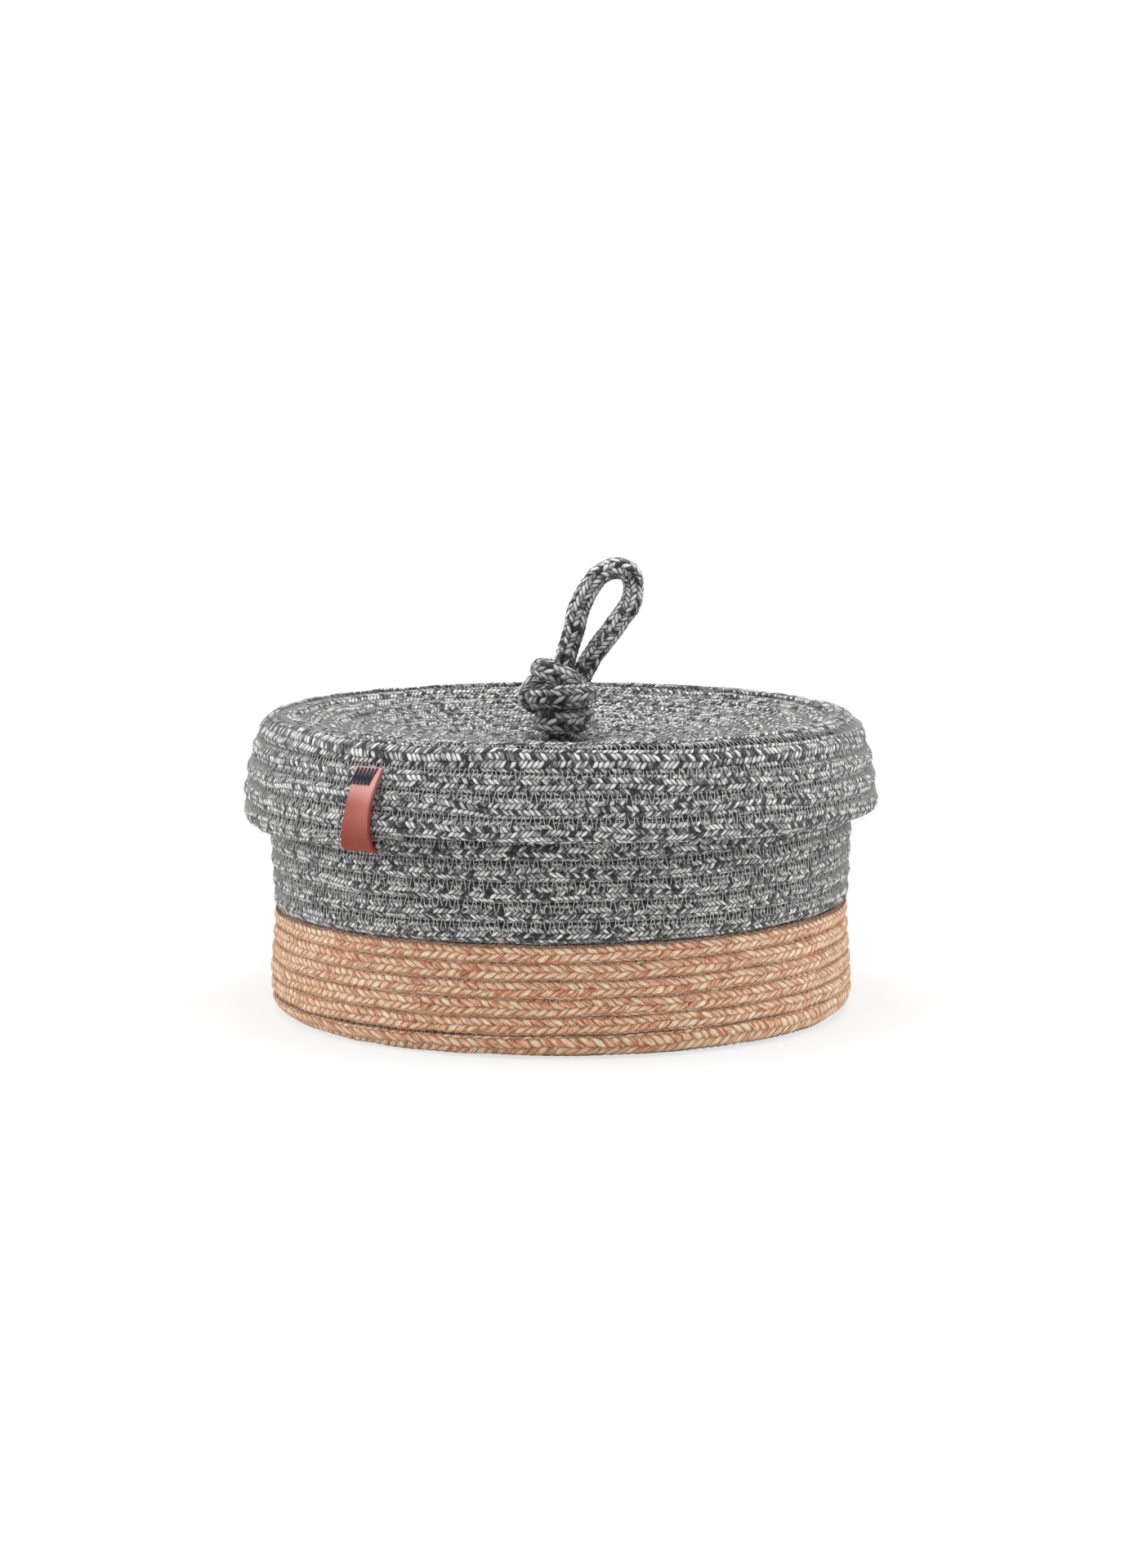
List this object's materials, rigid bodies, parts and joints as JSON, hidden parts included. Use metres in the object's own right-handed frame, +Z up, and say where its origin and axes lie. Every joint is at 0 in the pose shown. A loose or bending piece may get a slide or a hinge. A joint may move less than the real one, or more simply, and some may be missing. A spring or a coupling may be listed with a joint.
{
  "type": "lidded rope basket",
  "caption": "Low round coiled-rope basket, natural jute below and grey heather above, with a dished flared grey rope lid, a knotted rope handle and a folded leather tab.",
  "frame": {"origin": "under the middle of the base, on the surface that the basket stands on", "axes": "+Z up along the basket's axis, the front with the leather tab's side of the lid towards -Y, +X to the right as seen from the front"},
  "size_m": [0.2708, 0.2702, 0.1922],
  "materials": {
    "jute": "natural braided jute rope, matte",
    "grey_rope": "grey heather braided cotton rope, matte",
    "leather": "red-brown leather, soft sheen, undyed edges",
    "navy_thread": "waxed navy sewing thread"
  },
  "bodies": {
    "basket": {"base_plate": "jute", "jute_wall_coil": "jute", "grey_wall_coil": "grey_rope"},
    "lid": {"lid_top_coil": "grey_rope", "lid_skirt_coil": "grey_rope", "leather_tab": "leather", "tab_stitches": "navy_thread", "handle_knot": "grey_rope", "handle_tail_left": "grey_rope", "handle_tail_right": "grey_rope", "stopper_knot": "grey_rope"},
    "loop": {"handle_loop": "grey_rope"}
  },
  "joints": [
    {"name": "lid_lift", "type": "slide", "parent": "basket", "child": "lid", "axis": [0, 0, 1], "range_m": [0, 0.12]},
    {"name": "loop_fold", "type": "hinge", "parent": "lid", "child": "loop", "pos_m": [0.0077, 0, 0.15015], "axis": [1, 0, 0], "range_deg": [-35, 35], "stiffness_Nm_per_rad": 0.02}
  ]
}
